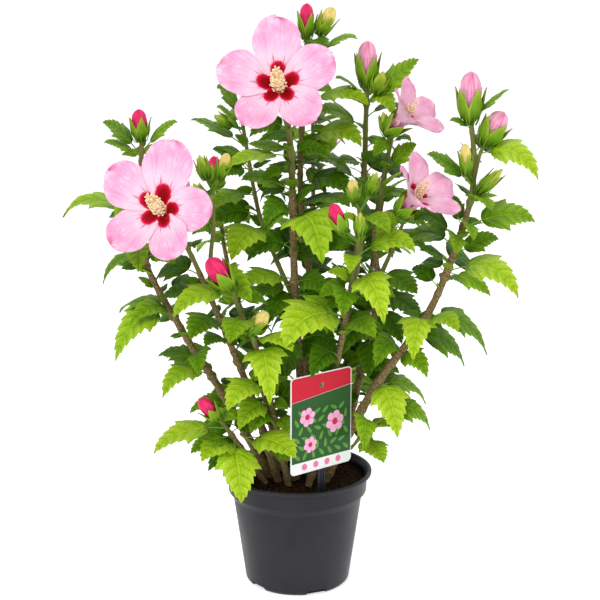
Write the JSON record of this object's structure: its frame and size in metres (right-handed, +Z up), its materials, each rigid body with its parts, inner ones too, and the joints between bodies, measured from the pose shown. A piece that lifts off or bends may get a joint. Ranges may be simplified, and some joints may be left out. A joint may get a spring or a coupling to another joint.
{
  "type": "potted hibiscus shrub",
  "caption": "Many-stemmed flowering hibiscus shrub with lobed leaves, open blooms and buds, growing in a round plastic nursery pot with a plant label on a stake.",
  "frame": {"origin": "centre of the pot's flat underside, on the floor", "axes": "+Z up the pot's axis; -Y is the front that the plant label and the two large blooms face; +X is to the right seen from the front"},
  "size_m": [0.503, 0.3468, 0.654],
  "materials": {
    "pot_plastic": "satin anthracite plastic",
    "soil": "moist crumbly peat",
    "bark": "matt grey-brown bark",
    "foliage": "soft leaf sheen",
    "label_print": "smooth printed card",
    "stake_plastic": "satin dark plastic"
  },
  "bodies": {
    "root": {"pot": "pot_plastic", "soil": "soil", "label_card": "label_print", "label_stake": "stake_plastic", "stem_left_outer": "bark", "stem_left_front": "bark", "stem_front_left": "bark", "stem_low_left": "bark", "stem_centre": "bark", "stem_tall": "bark", "stem_front": "bark", "stem_right_centre": "bark", "stem_right": "bark", "stem_right_outer": "bark", "stem_back_left": "bark", "stem_back_centre": "bark", "stem_back_right": "bark", "crown_left_outer": "foliage", "crown_left_front": "foliage", "crown_front_left": "foliage", "crown_low_left": "foliage", "crown_centre": "foliage", "crown_tall": "foliage", "crown_front": "foliage", "crown_right_centre": "foliage", "crown_right": "foliage", "crown_right_outer": "foliage", "crown_back_left": "foliage", "crown_back_centre": "foliage", "crown_back_right": "foliage", "shoot_front_left": "foliage", "shoot_front": "foliage", "shoot_left": "foliage", "shoot_right": "foliage", "shoot_right_back": "foliage", "shoot_back_left": "foliage", "shoot_back": "foliage", "shoot_back_right": "foliage"}
  },
  "joints": []
}
